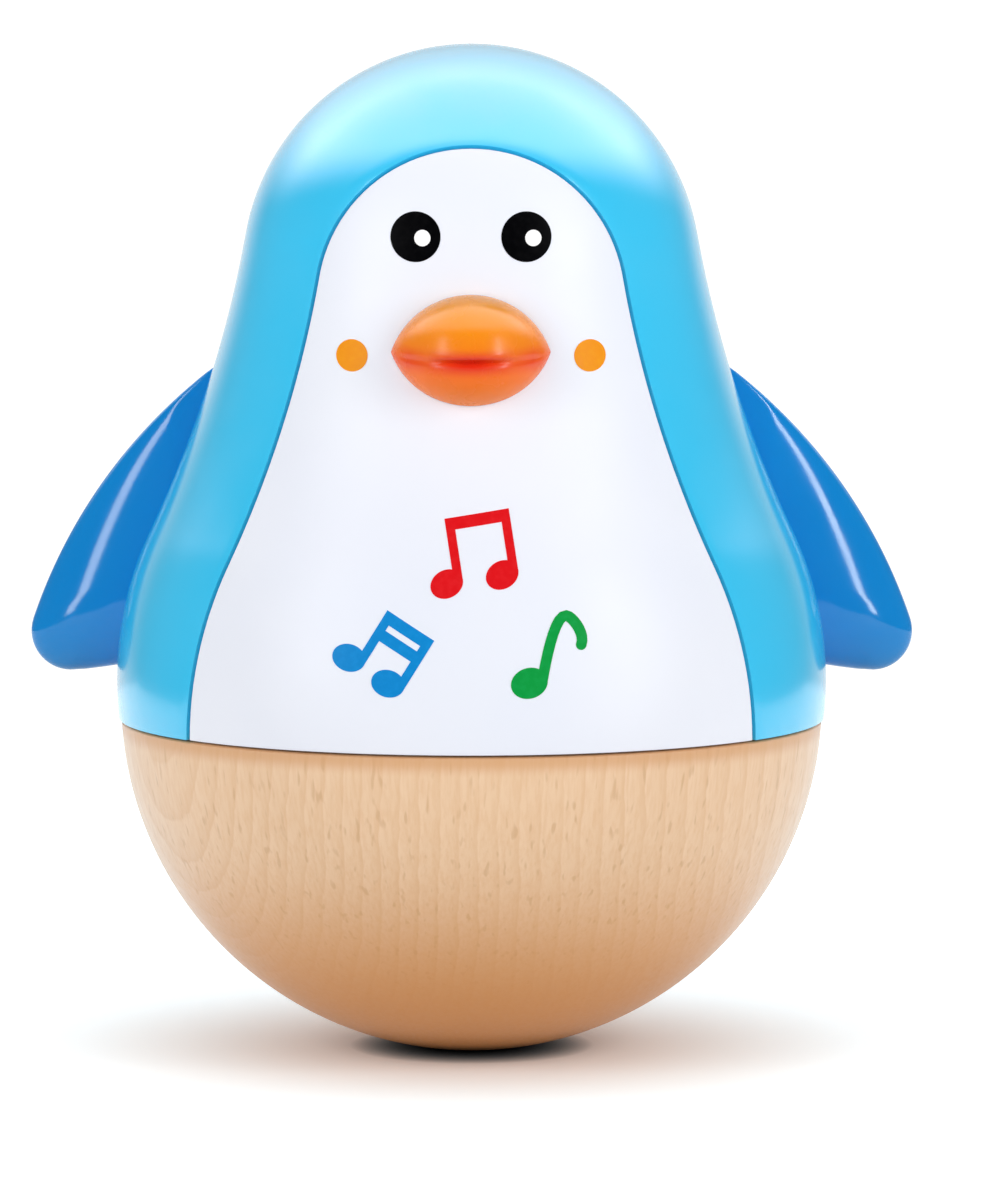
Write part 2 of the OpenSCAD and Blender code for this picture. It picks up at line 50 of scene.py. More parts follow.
# Halvings of a distance until it is exact, and steps round a printed ellipse.
HALVINGS = 36
ELLIPSE_STEPS = 64
PLASTIC_IOR = 1.53
LOG = logging.getLogger("penguin")
Pair = tuple[float, float]
Outline = list[Pair]
Colour = tuple[float, float, float, float]
Tree = bpy.types.NodeTree
Socket = bpy.types.NodeSocket
Inputs = dict[str | int, object]


class Side(Enum):
    """The sides of the toy that carry a fin, as signs of X."""

    LEFT = 1
    RIGHT = -1


class Part(Enum):
    """The parts of the wrapped body that a piece keeps."""

    PANEL = "panel"
    HOOD = "hood"
    WHOLE = "whole"


def linear(hex_colour: str) -> Colour:
    """Turns an sRGB hex value into a linear colour.

    Args:
        hex_colour: Six hex digits after a hash sign.

    Returns:
        The linear red, green and blue, with full alpha.
    """
    channels = [int(hex_colour[i : i + 2], 16) / 255 for i in (1, 3, 5)]
    red, green, blue = [c / 12.92 if c <= 0.04045 else ((c + 0.055) / 1.055) ** 2.4 for c in channels]
    return (red, green, blue, 1.0)


def add_node(
    tree: Tree,
    kind: str,
    inputs: Inputs | None = None,
    stops: Sequence[tuple[float, Colour]] = (),
    **settings: object,
) -> bpy.types.Node:
    """Adds a shader node with its settings and links.

    Args:
        tree: The material's or the world's node tree.
        kind: The node's type without its ShaderNode prefix.
        inputs: Values or sockets to link, by input name or number.
        stops: Places and colours of a colour ramp.
        **settings: Attributes to set on the node.

    Returns:
        The new node.
    """
    node = tree.nodes.new("ShaderNode" + kind)
    for name, value in settings.items():
        setattr(node, name, value)
    for place, _ in stops[2:]:
        node.color_ramp.elements.new(place)
    for element, (place, colour) in zip(node.color_ramp.elements if stops else (), stops):
        element.position, element.color = place, colour
    for key, value in (inputs or {}).items():
        if isinstance(value, Socket):
            tree.links.new(value, node.inputs[key])
        else:
            node.inputs[key].default_value = value
    return node


def ramp(tree: Tree, value: Socket, *stops: tuple[float, Colour]) -> Socket:
    """Colours a value by stops along a ramp."""
    return add_node(tree, "ValToRGB", {"Fac": value}, stops=stops).outputs["Color"]


def remap(
    tree: Tree, value: Socket, span: Pair, to: tuple[float, float | Socket], smooth: bool = False
) -> Socket:
    """Maps a value from one range to another.

    Args:
        tree: The node tree.
        value: The value to map.
        span: The range that it comes from.
        to: The range that it goes to.
        smooth: Whether it eases in and out.

    Returns:
        The mapped value.
    """
    inputs = {"Value": value, "From Min": span[0], "From Max": span[1], "To Min": to[0], "To Max": to[1]}
    kind = "SMOOTHSTEP" if smooth else "LINEAR"
    return add_node(tree, "MapRange", inputs, interpolation_type=kind).outputs["Result"]


def compute(tree: Tree, operation: str, *values: float | Socket) -> Socket:
    """Works out one sum on some values."""
    return add_node(tree, "Math", dict(enumerate(values)), operation=operation).outputs[0]


def blend(tree: Tree, factor: Socket, under: Socket, over: Colour) -> Socket:
    """Lays a colour over another by a factor."""
    inputs = {"Factor": factor, "A": under, "B": over}
    return add_node(tree, "Mix", inputs, data_type="RGBA").outputs["Result"]


def noise(tree: Tree, place: Socket, scale: float, detail: float, roughness: float = 0.5) -> Socket:
    """Adds a noise, with the scale as marks to the unit of its place."""
    inputs = {"Vector": place, "Scale": scale, "Detail": detail, "Roughness": roughness}
    return add_node(tree, "TexNoise", inputs).outputs["Fac"]


def emboss(tree: Tree, height: Socket, strength: float, depth_mm: float) -> Socket:
    """Turns heights into a bumped normal."""
    inputs = {"Strength": strength, "Distance": depth_mm * MM, "Height": height}
    return add_node(tree, "Bump", inputs).outputs["Normal"]


def start_clean() -> None:
    """Leaves edit mode and deselects everything."""
    if bpy.context.object and bpy.context.object.mode != "OBJECT":
        bpy.ops.object.mode_set(mode="OBJECT")
    bpy.ops.object.select_all(action="DESELECT")


def take(piece: bpy.types.Object) -> None:
    """Makes a piece the only selected object and the active one."""
    start_clean()
    piece.select_set(True)
    bpy.context.view_layer.objects.active = piece


def edit(piece: bpy.types.Object, action: str = "SELECT") -> None:
    """Enters edit mode on a piece with all of it selected, or none of it."""
    take(piece)
    bpy.ops.object.mode_set(mode="EDIT")
    bpy.ops.mesh.select_all(action=action)


def pick_faces(piece: bpy.types.Object, test: Callable[[Vector, Vector], bool]) -> None:
    """Enters edit mode with only some faces selected.

    Args:
        piece: The piece to edit.
        test: Takes a face's centre and normal and says whether it is selected.
    """
    edit(piece, "DESELECT")
    bpy.ops.mesh.select_mode(type="FACE")
    bpy.ops.object.mode_set(mode="OBJECT")
    for face in piece.data.polygons:
        face.select = test(face.center, face.normal)
    bpy.ops.object.mode_set(mode="EDIT")


def pick_edges(piece: bpy.types.Object, test: Callable[[Vector, Vector], bool]) -> None:
    """Enters edit mode with only some edges selected.

    Args:
        piece: The piece to edit.
        test: Takes an edge's two ends and says whether it is selected.
    """
    edit(piece, "DESELECT")
    bpy.ops.mesh.select_mode(type="EDGE")
    bpy.ops.object.mode_set(mode="OBJECT")
    points = piece.data.vertices
    for line in piece.data.edges:
        line.select = test(points[line.vertices[0]].co, points[line.vertices[1]].co)
    bpy.ops.object.mode_set(mode="EDIT")


def reshape(piece: bpy.types.Object, place: Callable[[Vector], Vector]) -> None:
    """Moves each point of a piece.

    Args:
        piece: The piece to shape.
        place: Takes a point and gives its new place, in metres.
    """
    take(piece)
    for point in piece.data.vertices:
        point.co = place(point.co)
    edit(piece)
    bpy.ops.mesh.remove_doubles(threshold=WELD)
    bpy.ops.mesh.normals_make_consistent(inside=False)
    start_clean()


def modify(piece: bpy.types.Object, kind: str, **settings: object) -> None:
    """Adds a modifier to a piece and applies it.

    Args:
        piece: The piece to change.
        kind: The modifier's type.
        **settings: Attributes to set on the modifier.
    """
    take(piece)
    modifier = piece.modifiers.new(kind.title(), kind)
    for name, value in settings.items():
        setattr(modifier, name, value)
    bpy.ops.object.modifier_apply(modifier=modifier.name)


def combine(piece: bpy.types.Object, tool: bpy.types.Object, operation: str) -> None:
    """Joins, cuts or trims a piece with a tool and removes the tool.

    Args:
        piece: The piece that stays.
        tool: The closed shape that works on it.
        operation: UNION, DIFFERENCE or INTERSECT.
    """
    modify(piece, "BOOLEAN", object=tool, operation=operation, solver="EXACT")
    bpy.data.objects.remove(tool)


def ball(segments: int, rings: int, turn: tuple[float, float, float]) -> bpy.types.Object:
    """Adds a unit ball at the origin.

    Args:
        segments: Steps round its axis.
        rings: Steps along its axis.
        turn: Rotation that lays the axis where it is wanted.

    Returns:
        The new ball.
    """
    start_clean()
    bpy.ops.mesh.primitive_uv_sphere_add(segments=segments, ring_count=rings, radius=1.0, rotation=turn)
    piece = bpy.context.object
    bpy.ops.object.transform_apply(location=True, rotation=True, scale=True)
    return piece


@dataclass(frozen=True)
class Finish:
    """A surface finish, which becomes one shared material.

    Attributes:
        name: The real material and how it was worked.
    """

    name: str

    def surface(self, tree: Tree, place: Socket) -> Inputs:
        """Adds the finish's nodes to a tree.

        Args:
            tree: The material's node tree.
            place: The place on the piece, in metres.

        Returns:
            The shader's inputs, as values or as sockets to link.
        """
        raise NotImplementedError


@functools.cache
def material_of(finish: Finish) -> bpy.types.Material:
    """Makes the material of a finish, once.

    Args:
        finish: The finish to make.

    Returns:
        The finish's material.
    """
    material = bpy.data.materials.new(finish.name)
    material.use_nodes = True
    tree = material.node_tree
    tree.nodes.clear()
    place = add_node(tree, "TexCoord").outputs["Object"]
    shader = add_node(tree, "BsdfPrincipled", finish.surface(tree, place))
    add_node(tree, "OutputMaterial", {"Surface": shader.outputs["BSDF"]})
    return material


@dataclass(frozen=True)
class MouldedPlastic(Finish):
    """Injection-moulded plastic: an even colour, a gloss and the faint waviness of the tool's polish.

    Attributes:
        colour: Main colour as sRGB hex.
        drift: The colour it drifts to over a few centimetres.
        gloss: Roughness where the surface is smoothest.
        dull: Roughness where it has been handled.
        polish: Weight of the polished skin over the colour.
        shine: Level of its reflections.
    """

    colour: str = "#FFFFFF"
    drift: str = "#F4F4F4"
    gloss: float = 0.16
    dull: float = 0.26
    polish: float = 0.0
    shine: float = 0.5

    def surface(self, tree: Tree, place: Socket) -> Inputs:
        """Adds the plastic's nodes to a tree and gives the shader's inputs."""
        # Flow of the melt: clouds about 30 mm across.
        flow = noise(tree, place, 1 / (30 * MM), 2.0)
        # Handling marks about 6 mm across, seen in the gloss alone.
        wear = noise(tree, place, 1 / (6 * MM), 4.0)
        # Orange peel about 1.6 mm across, drawn coarse enough to show.
        peel = noise(tree, place, 1 / (1.6 * MM), 1.0)
        return {
            "Base Color": ramp(tree, flow, (0.35, linear(self.colour)), (0.7, linear(self.drift))),
            "Roughness": remap(tree, wear, (0.3, 0.75), (self.gloss, self.dull)),
            "Normal": emboss(tree, peel, 0.06, 0.02),
            "IOR": PLASTIC_IOR,
            "Specular IOR Level": self.shine,
            "Coat Weight": self.polish,
            "Coat Roughness": 0.12,
        }


@dataclass(frozen=True)
class BeakPlastic(Finish):
    """Orange ABS, redder along the mouth: lighter on the upper half and deeper below.

    Attributes:
        middle_z: Height of the beak's middle, in mm.
        half_w: Half of the beak's width, in mm.
        half_h: Half of the beak's height, in mm.
        drop: Drop of the mouth below the middle at its centre, in mm.
        lift: Rise of the mouth towards its corners, in mm.
        tones: Colours from the beak's foot to its top, with their places.
        red: Colour that the beak reddens to along the mouth.
        reddening: Strength of the red from the mouth's centre to its corners, with the places.
    """

    middle_z: float = 90.3
    half_w: float = 9.8
    half_h: float = 7.0
    drop: float = 0.95
    lift: float = 0.65
    tones: tuple[tuple[float, str], ...] = (
        (0.0, "#F8860E"),
        (0.3, "#F8760E"),
        (0.47, "#F4660E"),
        (0.56, "#F67E0C"),
        (0.75, "#F88E0C"),
        (1.0, "#FA9E12"),
    )
    red: str = "#E22A14"
    reddening: tuple[Pair, ...] = ((0.0, 0.95), (0.1, 0.75), (0.3, 0.35), (0.6, 0.6), (0.85, 0.3))

    def surface(self, tree: Tree, place: Socket) -> Inputs:
        """Adds the beak's nodes to a tree and gives the shader's inputs."""
        sized = {"Vector": place, "Scale": PER_MM, "Location": (0, 0, -self.middle_z)}
        xyz = add_node(tree, "SeparateXYZ", {"Vector": add_node(tree, "Mapping", sized).outputs["Vector"]})
        # Height above the mouth line, which rises to its corners as a parabola.
        across = compute(tree, "MULTIPLY", xyz.outputs["X"], 1 / self.half_w)
        squared = compute(tree, "MULTIPLY", across, across)
        mouth = compute(tree, "MULTIPLY_ADD", squared, self.lift, -self.drop)
        above = compute(tree, "SUBTRACT", xyz.outputs["Z"], mouth)
        height = remap(tree, above, (-self.half_h, self.half_h), (0.0, 1.0))
        body = ramp(tree, height, *[(spot, linear(tone)) for spot, tone in self.tones])
        # Redder about 1 mm either side of the mouth, strongest at the centre and near both corners.
        band = remap(tree, compute(tree, "ABSOLUTE", above), (0.4, 2.0), (1.0, 0.0), smooth=True)
        strength = ramp(tree, squared, *[(spot, (share, share, share, 1)) for spot, share in self.reddening])
        # Handling marks about 4 mm across, seen in the gloss alone.
        wear = noise(tree, place, 1 / (4 * MM), 3.0)
        return {
            "Base Color": blend(tree, compute(tree, "MULTIPLY", band, strength), body, linear(self.red)),
            "Roughness": remap(tree, wear, (0.3, 0.75), (0.2, 0.32)),
            "IOR": PLASTIC_IOR,
            "Specular IOR Level": 0.3,
            "Subsurface Weight": 0.05,
            "Subsurface Scale": 1.0 * MM,
        }


@dataclass(frozen=True)
class TurnedBeech(Finish):
    """Turned and oiled beech: pale, with upright growth lines, short ray flecks and a low sheen.

    Attributes:
        early: Colour of the wood that grows in spring, as sRGB hex.
        summer: Colour of the wood between that and the line.
        late: Colour of the thin darker line that ends each ring.
        end: Colour of the foot where it looks down: painted shade and warm bounce from under the bowl, over
            end grain that drinks in more oil.
        cloud: Colour that the tone drifts to.
        fleck: Colour of the rays, cut across.
        rim: Colour of the painted shade line along the sawn rim, where the panel's edge overhangs it.
        ring_mm: Width of a growth ring.
        heart_mm: Where the middle of the tree lies, from the toy's axis.
        rim_mm: Height of the bowl's rim.
    """

    early: str = "#F2CEAA"
    summer: str = "#ECC59D"
    late: str = "#E3B587"
    end: str = "#DE9646"
    cloud: str = "#EFCBA5"
    fleck: str = "#C89866"
    rim: str = "#D69A62"
    ring_mm: float = 2.4
    heart_mm: Pair = (58.0, 34.0)
    rim_mm: float = 42.02

    def surface(self, tree: Tree, place: Socket) -> Inputs:
        """Adds the wood's nodes to a tree and gives the shader's inputs."""
        # Rings round the middle of the tree, which leans a little, so the lines run out at the foot.
        leaning = {
            "Vector": place,
            "Scale": PER_MM,
            "Location": (*self.heart_mm, 0),
            "Rotation": (math.radians(4), math.radians(-5), 0),
        }
        rings = add_node(
            tree,
            "TexWave",
            {
                "Vector": add_node(tree, "Mapping", leaning).outputs["Vector"],
                "Scale": math.tau / (20 * self.ring_mm),
                "Distortion": 2.2,
                "Detail": 3.0,
                "Detail Scale": 0.9,
                "Detail Roughness": 0.6,
            },
            wave_type="RINGS",
            rings_direction="Z",
            wave_profile="SAW",
        )
        # Fibres: streaks about 0.5 mm wide and 20 mm long.
        upright = add_node(tree, "Mapping", {"Vector": place, "Scale": (2.0 / MM, 2.0 / MM, 0.05 / MM)})
        fibres = noise(tree, upright.outputs["Vector"], 1.0, 4.0, 0.6)
        # Ray flecks: spindles about 0.4 mm wide and 2.5 mm long.
        spindles = add_node(tree, "Mapping", {"Vector": place, "Scale": (1.3 / MM, 1.3 / MM, 0.26 / MM)})
        flecks = noise(tree, spindles.outputs["Vector"], 1.0, 1.0, 0.4)
        # Clouds of tone about 25 mm across.
        clouds = noise(tree, place, 1 / (25 * MM), 2.0)
        early, late = linear(self.early), linear(self.late)
        stops = ((0.0, early), (0.65, linear(self.summer)), (0.93, late), (1.0, early))
        toned = blend(tree, clouds, ramp(tree, rings.outputs["Fac"], *stops), linear(self.cloud))
        streaked = blend(tree, remap(tree, fibres, (0.4, 0.75), (0.0, 0.55)), toned, late)
        flecked = blend(tree, remap(tree, flecks, (0.63, 0.74), (0.0, 0.4)), streaked, linear(self.fleck))
        # Painted shade: faces that look down are darkened and warmed, standing in for the shade and warm
        # bounce under the bowl; the fibres stand upright, so the foot also shows their ends.
        facing = add_node(tree, "SeparateXYZ", {"Vector": add_node(tree, "TexCoord").outputs["Normal"]})
        down = remap(tree, facing.outputs["Z"], (-0.3, -0.85), (0.0, 0.95), smooth=True)
        shaded_foot = blend(tree, down, flecked, linear(self.end))
        # Painted shade: a darker line about 1.5 mm wide along the sawn rim, where the panel's edge overhangs
        # the wood.
        height = add_node(tree, "SeparateXYZ", {"Vector": place}).outputs["Z"]
        off_rim = compute(tree, "ABSOLUTE", compute(tree, "SUBTRACT", height, self.rim_mm * MM))
        oiled = remap(tree, off_rim, (0.6 * MM, 2.6 * MM), (0.7, 0.0), smooth=True)
        return {
            # The base colour carries the painted shade along the rim and under the foot.
            "Base Color": blend(tree, oiled, shaded_foot, linear(self.rim)),
            "Roughness": remap(tree, fibres, (0.3, 0.7), (0.42, 0.56)),
            "Normal": emboss(tree, fibres, 0.18, 0.05),
            "IOR": 1.46,
            "Coat Weight": 0.6,
            "Coat Roughness": 0.25,
        }


@dataclass(frozen=True)
class PadInk(Finish):
    """Pad-printed ink: a dense flat film with a slightly uneven gloss.

    Attributes:
        colour: Colour of the ink as sRGB hex.
        thin: Its colour where the film is thinner.
        shine: Level of its reflections.
    """

    colour: str = "#000000"
    thin: str = "#101010"
    shine: float = 0.1

    def surface(self, tree: Tree, place: Socket) -> Inputs:
        """Adds the ink's nodes to a tree and gives the shader's inputs."""
        # Unevenness of the film, about 0.8 mm across.
        film = noise(tree, place, 1 / (0.8 * MM), 3.0)
        return {
            "Base Color": ramp(tree, film, (0.45, linear(self.colour)), (0.75, linear(self.thin))),
            "Roughness": remap(tree, film, (0.3, 0.7), (0.28, 0.4)),
            "IOR": 1.48,
            "Specular IOR Level": self.shine,
        }


@dataclass(frozen=True)
class WorkedMetal(Finish):
    """Metal inside the toy: bare, with the grain of the way it was made.

    Attributes:
        colour: Colour of the bright metal as sRGB hex.
        dark: Colour in its hollows and stains.
        gloss: Roughness of the bright places.
        dull: Roughness of the dull places.
        grain_mm: Size of the grain across X, Y and Z.
        metallic: How metallic it is.
    """

    colour: str = "#C9CBCE"
    dark: str = "#A9ACB0"
    gloss: float = 0.25
    dull: float = 0.4
    grain_mm: tuple[float, float, float] = (0.6, 0.6, 0.6)
    metallic: float = 1.0

    def surface(self, tree: Tree, place: Socket) -> Inputs:
        """Adds the metal's nodes to a tree and gives the shader's inputs."""
        scale = tuple(1 / (size * MM) for size in self.grain_mm)
        sized = add_node(tree, "Mapping", {"Vector": place, "Scale": scale})
        grain = noise(tree, sized.outputs["Vector"], 1.0, 4.0)
        return {
            "Base Color": ramp(tree, grain, (0.3, linear(self.dark)), (0.7, linear(self.colour))),
            "Roughness": remap(tree, grain, (0.3, 0.7), (self.dull, self.gloss)),
            "Normal": emboss(tree, grain, 0.15, 0.03),
            "Metallic": self.metallic,
        }


BEECH = TurnedBeech("turned oiled beech")
HOOD_BLUE = MouldedPlastic("moulded light blue ABS", colour="#2CC9F9", drift="#32CBFA", polish=0.6)
PANEL_WHITE = MouldedPlastic(
    "moulded white ABS", colour="#F1F4FD", drift="#EDF1FC", gloss=0.38, dull=0.46, shine=0.4
)
FIN_BLUE = MouldedPlastic(
    "moulded deep blue ABS", colour="#0084D0", drift="#0088D4", gloss=0.09, dull=0.13, shine=0.33
)
BEAK_ORANGE = BeakPlastic("moulded orange ABS")
CHASSIS_GREY = MouldedPlastic(
    "moulded grey polypropylene", colour="#C9CCD0", drift="#C2C5CA", gloss=0.4, dull=0.5
)
CAST_IRON = WorkedMetal("sand-cast iron", "#6A6A6C", "#4A4A4D", 0.5, 0.7, (0.9, 0.9, 0.9))
ROD_STEEL = WorkedMetal("drawn spring steel", "#D2D4D6", "#B4B7BA", 0.18, 0.3, (0.4, 0.4, 12.0))
STRIP_STEEL = WorkedMetal("zinc-plated steel strip", "#C4C8CC", "#A4A9AE", 0.25, 0.4, (1.4, 1.4, 1.4))
SCREW_STEEL = WorkedMetal("zinc-plated screw steel", "#C8CACC", "#A2A5A8", 0.28, 0.42, (0.5, 0.5, 0.5))
INK_BLACK = PadInk("black pad ink", "#030305", "#070709", 0.04)
INK_WHITE = PadInk("white pad ink", "#FFFFFF", "#F6F6F6")
INK_ORANGE = PadInk("orange pad ink", "#F59606", "#F79E10")
INK_RED = PadInk("red pad ink", "#E0121A", "#E41E24")
INK_BLUE = PadInk("blue pad ink", "#0488D2", "#0C8FD8")
INK_GREEN = PadInk("green pad ink", "#029C40", "#0AA249")


def seat(
    piece: bpy.types.Object,
    name: str,
    finish: Finish,
    nodes: Sequence[str] = (),
    crease: float = 35.0,
) -> None:
    """Names and dresses a finished piece and seats it on the toy's body.

    Args:
        piece: The finished piece.
        name: The piece's name.
        finish: The finish to dress it in.
        nodes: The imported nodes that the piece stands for.
        crease: Turn between faces, in degrees, over which an edge stays sharp.
    """
    piece.name = piece.data.name = name
    take(piece)
    bpy.ops.object.transform_apply(location=True, rotation=True, scale=True)
    bpy.ops.object.shade_smooth_by_angle(angle=math.radians(crease))
    piece.data.materials.clear()
    piece.data.materials.append(material_of(finish))
    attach(piece, "body")
    if nodes:
        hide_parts(*nodes)
    LOG.info("%s: %d faces", name, len(piece.data.polygons))


@dataclass(frozen=True)
class Ogee:
    """A side view made of a dome, a hollow neck and a full belly that touch each other, in mm.

    Attributes:
        dome_r: Radius of the dome.
        dome_z: Height of the dome's centre.
        neck_r: Radius of the hollow arc.
        belly_r: Radius of the belly's arc.
        belly_x: Distance of that arc's centre from the axis.
        belly_z: Height of that centre.
    """

    dome_r: float
    dome_z: float
    neck_r: float
    belly_r: float
    belly_x: float
    belly_z: float

    def grown(self, gap: float) -> "Ogee":
        """Gives the same ogee moved outward along its normals."""
        return replace(
            self, dome_r=self.dome_r + gap, neck_r=self.neck_r - gap, belly_r=self.belly_r + gap
        )

    @functools.cached_property
    def neck(self) -> Vector:
        """Centre of the hollow arc."""
        dome = Vector((0.0, self.dome_z))
        down = Vector((self.belly_x, self.belly_z)) - dome
        along = down.normalized()
        to_dome, to_belly = self.dome_r + self.neck_r, self.belly_r + self.neck_r
        run = (to_dome**2 - to_belly**2 + down.length**2) / (2 * down.length)
        out = math.sqrt(to_dome**2 - run**2)
        return dome + run * along + out * Vector((-along.y, along.x))

    @functools.cached_property
    def joins(self) -> Pair:
        """Heights at which the neck meets the dome and the belly."""
        dome = self.dome_z + self.dome_r * (self.neck.y - self.dome_z) / (self.dome_r + self.neck_r)
        belly = self.belly_z + self.belly_r * (self.neck.y - self.belly_z) / (self.belly_r + self.neck_r)
        return dome, belly

    def side(self, z: float) -> float:
        """Gives the side's distance from the axis at a height, or less than 0 past its ends."""
        if z > self.joins[0]:
            left = self.dome_r**2 - (z - self.dome_z) ** 2
            return math.sqrt(left) if left > 0 else -1.0
        if z > self.joins[1]:
            return self.neck.x - math.sqrt(self.neck_r**2 - (z - self.neck.y) ** 2)
        left = self.belly_r**2 - (z - self.belly_z) ** 2
        return self.belly_x + math.sqrt(left) if left > 0 else -1.0


def farthest(inside: Callable[[float], bool], limit: float) -> float:
    """Finds by halving how far one can go along a line before leaving a form.

    Args:
        inside: Says whether a distance is still inside.
        limit: A distance that is outside for sure.

    Returns:
        The largest distance inside.
    """
    low, high = 0.0, limit
    for _ in range(HALVINGS):
        middle = (low + high) / 2
        low, high = (middle, high) if inside(middle) else (low, middle)
    return low


@dataclass
class BodyForm:
    """Outer form of the plastic body, which the shells, the prints and the cut pieces share, in mm.

    Attributes:
        outer: Side view of the round body.
        panel: Front view of the white panel.
        heart_z: Height of the point that the form is wrapped round.
        low_z: Height below which the panel's outline is closed, hidden under the joint.
        segments: Steps round the heart.
        rings: Steps from the front to the back.
        edge_ring: The step that lies on the panel's outline.
        fit_gap: Gap to the pieces that are cut to the body.
        limit: A distance from the heart that is outside the body for sure.
    """

    outer: Ogee = Ogee(29.0, 98.5, 150.0, 44.0, 1.0, 47.02)
    panel: Ogee = Ogee(19.0, 96.0, 140.0, 52.0, -17.3, 42.02)
    heart_z: float = 75.0
    low_z: float = 37.0
    segments: int = 224
    rings: int = 96
    edge_ring: int = 40
    fit_gap: float = 0.1
    limit: float = 90.0

    @functools.cached_property
    def block(self) -> bpy.types.Object:
        """The whole body as one block, with the gap that pieces on it are given."""
        return self.wrap(Part.WHOLE, grow=self.fit_gap)

    def cut(self, piece: bpy.types.Object) -> None:
        """Cuts a piece to the body."""
        take(self.block)
        bpy.ops.object.duplicate()
        combine(piece, bpy.context.object, "DIFFERENCE")

    def clear(self) -> None:
        """Removes the block."""
        bpy.data.objects.remove(self.block)

    def wrap(self, part: Part, gap: float = 0.0, grow: float = 0.0) -> bpy.types.Object:
        """Lays a ball over the body with one of its rings on the panel's outline.

        Args:
            part: The part to keep.
            gap: Distance that the outline is moved outward.
            grow: Distance that the surface is moved outward.

        Returns:
            The wrapped skin, closed only if it is whole.
        """
        piece = ball(self.segments, self.rings, (math.pi / 2, 0, 0))
        edge_y = -math.cos(math.pi * self.edge_ring / self.rings)
        if part is not Part.WHOLE:
            pick_faces(piece, lambda centre, _: (centre.y > edge_y) is (part is Part.PANEL))
            bpy.ops.mesh.delete(type="FACE")
        outer, outline = self.outer.grown(grow), self.panel.grown(gap)

        @functools.cache
        def reach(turn: float) -> float:
            """Gives the outline's distance from the heart in the front view."""
            x, z = math.cos(turn), math.sin(turn)

            def inside(far: float) -> bool:
                """Says whether a distance is still on the panel."""
                high = self.heart_z + far * z
                return self.low_z < high and abs(far * x) < outline.side(high)

            return farthest(inside, self.limit)

        def place(point: Vector) -> Vector:
            """Lays a point of the ball on the body."""
            turn = round(math.atan2(point.z, point.x), 5)
            step = math.acos(max(-1.0, min(1.0, -point.y))) * self.rings / math.pi
            far = reach(turn) * min(step / self.edge_ring, 1.0)
            x, z = far * math.cos(turn), self.heart_z + far * math.sin(turn)
            front = Vector((x, -math.sqrt(max(outer.side(z) ** 2 - x**2, 0.0)), z))
            if step < self.edge_ring + 0.01:
                return front * MM
            edge = front - Vector((0, 0, self.heart_z))
            start = math.acos(-edge.y / edge.length)
            tilt = start + (math.pi - start) * (step - self.edge_ring) / (self.rings - self.edge_ring)
            way = Vector((math.sin(tilt) * math.cos(turn), -math.cos(tilt), math.sin(tilt) * math.sin(turn)))
            far = farthest(
                lambda d: math.hypot(d * way.x, d * way.y) < outer.side(self.heart_z + d * way.z), self.limit
            )
            return (Vector((0, 0, self.heart_z)) + far * way) * MM

        reshape(piece, place)
        return piece


@dataclass
class BodyShells:
    """The blue hood and the white front panel, two thin shells that part along a fine line, in mm.

    Attributes:
        form: The body's outer form.
        foot_z: Height of the shells' lower edge, a hairline above the wood.
        wall: Thickness of the shells.
        parting: Width of the parting line.
        ease: Rounding of the moulded edges.
    """

    form: BodyForm
    foot_z: float = 42.27
    wall: float = 2.2
    parting: float = 0.4
    ease: float = 0.4

    def thicken(self, piece: bpy.types.Object) -> None:
        """Cuts a skin off at the foot, gives it its wall and eases its edges."""
        edit(piece)
        foot = (0, 0, self.foot_z * MM)
        bpy.ops.mesh.bisect(plane_co=foot, plane_no=(0, 0, 1), clear_inner=True, threshold=WELD)
        modify(piece, "SOLIDIFY", thickness=self.wall * MM, offset=-1.0, use_even_offset=True)
        sharp = math.radians(50)
        modify(piece, "BEVEL", width=self.ease * MM, segments=3, limit_method="ANGLE", angle_limit=sharp)

    def build(self) -> None:
        """Builds, dresses and seats both shells."""
        hood = self.form.wrap(Part.HOOD, gap=self.parting)
        self.thicken(hood)
        seat(hood, "blue_hood", HOOD_BLUE, ["hood_shell"])
        panel = self.form.wrap(Part.PANEL)
        self.thicken(panel)
        seat(panel, "white_panel", PANEL_WHITE, ["front_panel"])


